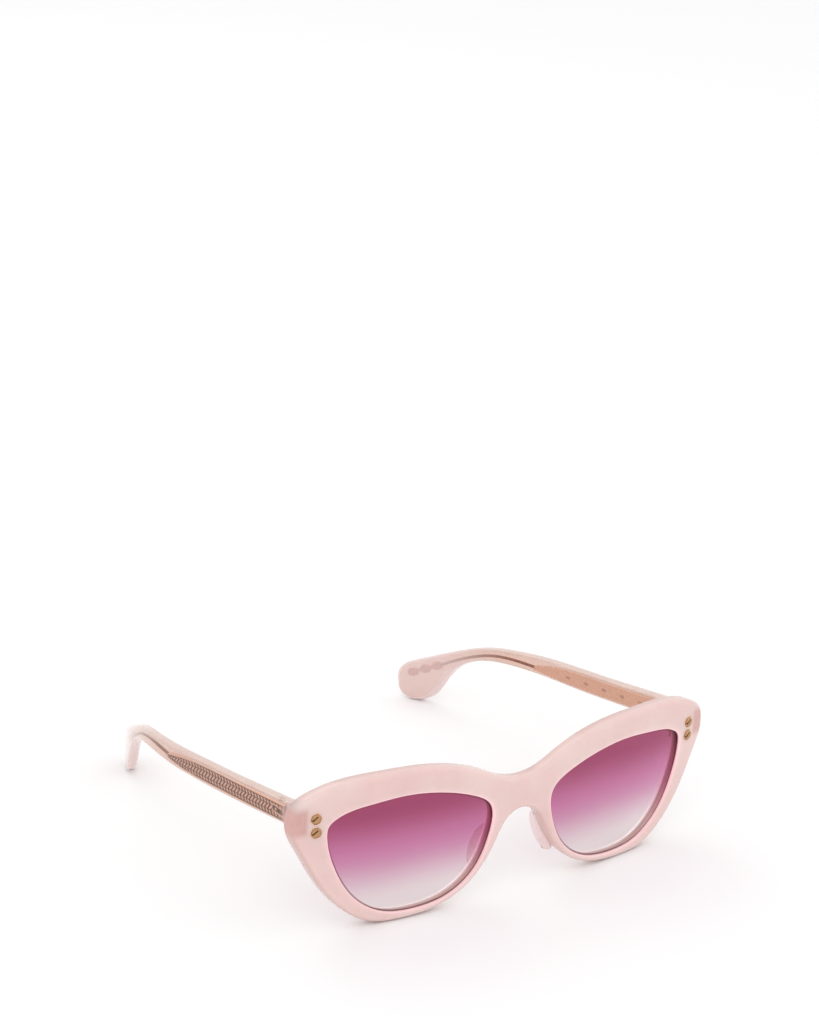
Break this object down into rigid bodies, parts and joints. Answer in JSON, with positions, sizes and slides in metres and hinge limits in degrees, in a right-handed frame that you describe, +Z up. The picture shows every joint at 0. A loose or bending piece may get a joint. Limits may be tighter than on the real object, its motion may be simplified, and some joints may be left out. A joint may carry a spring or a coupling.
{
  "type": "cat eye sunglasses",
  "caption": "Full-rim acetate cat eye sunglasses with graduated tinted lenses, riveted barrel hinges and folding temples on engraved metal cores.",
  "frame": {"origin": "on the table plane, under the middle of the open sunglasses' bounding box", "axes": "+Z up from the table that the rim bottoms and temple tips rest on, the lenses face -Y, the temples run back along +Y, +X is the wearer's left"},
  "size_m": [0.1418, 0.1229, 0.043],
  "materials": {
    "front_acetate": "polished milky pink acetate",
    "tinted_lens": "polished, graduated tint from plum at the top to clear at the bottom",
    "clear_acetate": "polished clear acetate",
    "temple_acetate": "polished clear pink acetate",
    "rivet_gold": "polished gold plate",
    "hinge_steel": "polished plated steel",
    "core_metal": "engraved rose gold plate"
  },
  "bodies": {
    "front_body": {"front": "front_acetate", "lens_left": "tinted_lens", "lens_right": "tinted_lens", "nose_pad_left": "clear_acetate", "nose_pad_right": "clear_acetate", "rivet_upper_left": "rivet_gold", "rivet_lower_left": "rivet_gold", "rivet_upper_right": "rivet_gold", "rivet_lower_right": "rivet_gold", "front_hinge_left": "hinge_steel", "front_hinge_right": "hinge_steel", "hinge_screw_left": "hinge_steel", "hinge_screw_right": "hinge_steel"},
    "temple_left_body": {"temple_left": "temple_acetate", "temple_hinge_left": "hinge_steel", "core_left": "core_metal", "core_tail_left": "core_metal"},
    "temple_right_body": {"temple_right": "temple_acetate", "temple_hinge_right": "hinge_steel", "core_right": "core_metal", "core_tail_right": "core_metal"}
  },
  "joints": [
    {"name": "temple_left_fold", "type": "hinge", "parent": "front_body", "child": "temple_left_body", "pos_m": [0.0632, -0.0474, 0.0319], "axis": [0, 0, 1], "range_deg": [0, 82]},
    {"name": "temple_right_fold", "type": "hinge", "parent": "front_body", "child": "temple_right_body", "pos_m": [-0.0632, -0.0474, 0.0319], "axis": [0, 0, -1], "range_deg": [0, 74]}
  ]
}
